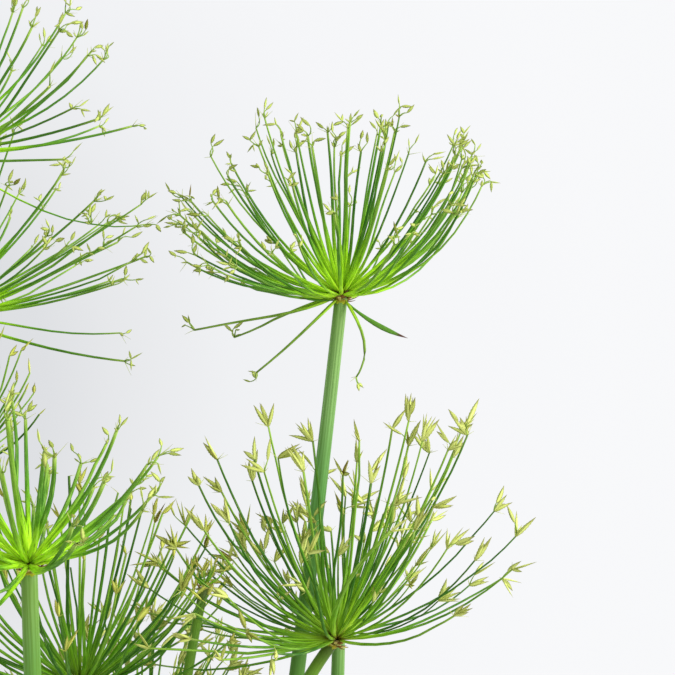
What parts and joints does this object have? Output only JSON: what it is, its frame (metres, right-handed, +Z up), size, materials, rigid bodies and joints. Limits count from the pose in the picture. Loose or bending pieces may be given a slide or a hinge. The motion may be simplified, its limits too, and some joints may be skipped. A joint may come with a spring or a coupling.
{
  "type": "potted dwarf papyrus",
  "caption": "Dwarf papyrus with slim leafless stems, each topped by a round umbel of thin rays with spikelets, growing in soil in a plain round ceramic pot.",
  "frame": {"origin": "middle of the underside of the pot", "axes": "+Z up along the pot's axis, +X to the right of the front view, +Y to the back"},
  "size_m": [0.3913, 0.3495, 0.6432],
  "materials": {
    "glaze": "pale warm grey satin glaze over stoneware",
    "soil": "damp dark peat potting soil with grit and bark",
    "culm": "smooth living green stem with fine lengthwise lines",
    "umbel": "living green rays, lime at the hub, with straw coloured spikelets"
  },
  "bodies": {
    "root": {"pot": "glaze", "soil": "soil", "culm_1": "culm", "culm_2": "culm", "culm_3": "culm", "culm_4": "culm", "culm_5": "culm", "culm_6": "culm", "culm_7": "culm", "culm_8": "culm", "culm_9": "culm", "culm_10": "culm", "culm_11": "culm", "culm_12": "culm", "culm_13": "culm", "culm_14": "culm", "culm_15": "culm", "culm_16": "culm", "umbel_1": "umbel", "umbel_2": "umbel", "umbel_3": "umbel", "umbel_4": "umbel", "umbel_5": "umbel", "umbel_6": "umbel", "umbel_7": "umbel", "umbel_8": "umbel", "umbel_9": "umbel", "umbel_10": "umbel", "umbel_11": "umbel", "umbel_12": "umbel", "umbel_13": "umbel", "umbel_14": "umbel", "umbel_15": "umbel", "umbel_16": "umbel"}
  },
  "joints": []
}
